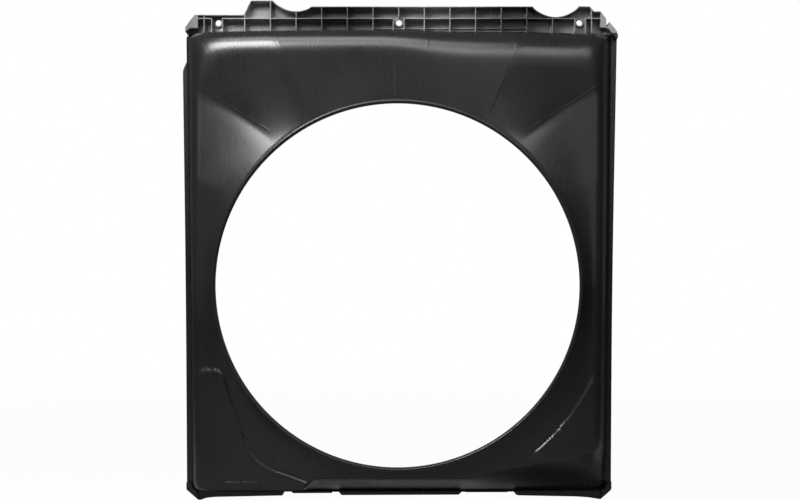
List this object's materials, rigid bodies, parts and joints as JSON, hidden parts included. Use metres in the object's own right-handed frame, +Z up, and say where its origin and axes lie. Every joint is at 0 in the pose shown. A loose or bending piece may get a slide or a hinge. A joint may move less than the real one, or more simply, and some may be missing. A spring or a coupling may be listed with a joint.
{
  "type": "radiator fan shroud",
  "caption": "Box-shaped moulded hood that ducts air from a radiator into a round fan ring, with a ribbed bolting rail along its top.",
  "frame": {"origin": "centre of the fan ring, on its axis and at the middle of its length", "axes": "+X to the right seen from the fan's side, +Z up, -Y towards the fan and the engine, +Y towards the radiator"},
  "size_m": [1.0739, 0.183, 1.2311],
  "materials": {
    "moulding": "satin black, as moulded, with faint flow streaks"
  },
  "bodies": {
    "root": {"shroud": "moulding"}
  },
  "joints": []
}
